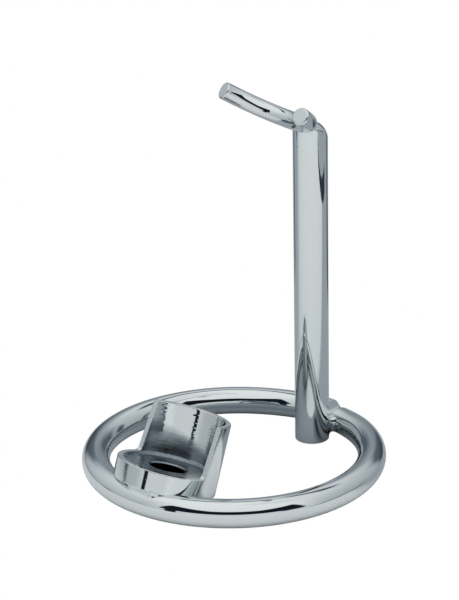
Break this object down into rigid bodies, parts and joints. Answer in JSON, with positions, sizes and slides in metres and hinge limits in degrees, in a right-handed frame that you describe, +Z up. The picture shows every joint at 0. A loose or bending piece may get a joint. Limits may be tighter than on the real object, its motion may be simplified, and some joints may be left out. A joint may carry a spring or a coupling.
{
  "type": "shaving brush and razor stand",
  "caption": "Chromed stand for a shaving brush or razor: base ring, upright post, open fork and leaning cup.",
  "frame": {"origin": "centre of the base ring on the table", "axes": "+Z up; -Y is the front, where the cup is and where the fork opens; +Y runs from the cup to the post"},
  "size_m": [0.1046, 0.1046, 0.1296],
  "materials": {
    "bar_chrome": "polished chrome plate",
    "cup_chrome": "turned, then chrome plated",
    "braze_chrome": "brazed fillet, chrome plated"
  },
  "bodies": {
    "root": {"base_ring": "bar_chrome", "post": "bar_chrome", "fork": "bar_chrome", "cup": "cup_chrome", "seam_braze": "braze_chrome", "cup_braze": "braze_chrome", "fork_braze": "braze_chrome"}
  },
  "joints": []
}
